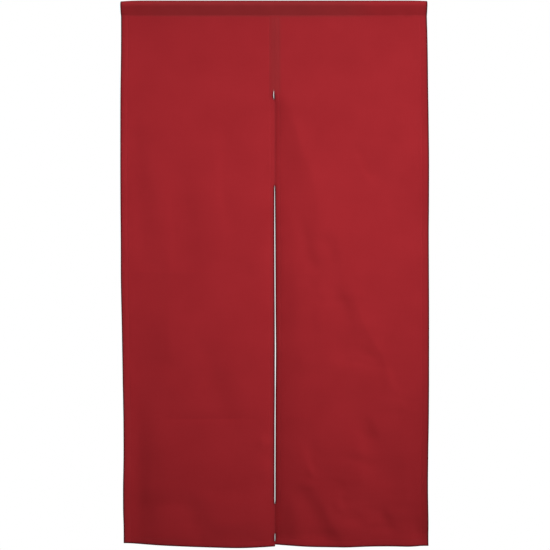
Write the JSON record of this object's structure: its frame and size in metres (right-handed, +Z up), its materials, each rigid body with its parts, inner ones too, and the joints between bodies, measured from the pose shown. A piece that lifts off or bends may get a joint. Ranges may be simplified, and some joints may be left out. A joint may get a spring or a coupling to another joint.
{
  "type": "noren curtain",
  "caption": "Plain red cotton doorway curtain, split down the middle below a short centre seam, with a sewn rod pocket across the top and folded hems all round.",
  "frame": {"origin": "middle of the curtain's top edge, where the rod pocket hangs", "axes": "+X to the viewer's right, +Z up, the front of the cloth faces -Y"},
  "size_m": [0.8536, 0.0339, 1.5133],
  "materials": {
    "cotton_panel": "plain weave cotton, matt, dyed red",
    "cotton_heading": "the same plain weave cotton, folded double"
  },
  "bodies": {
    "root": {"panel_left": "cotton_panel", "panel_right": "cotton_panel", "heading_left": "cotton_heading", "heading_right": "cotton_heading"}
  },
  "joints": []
}
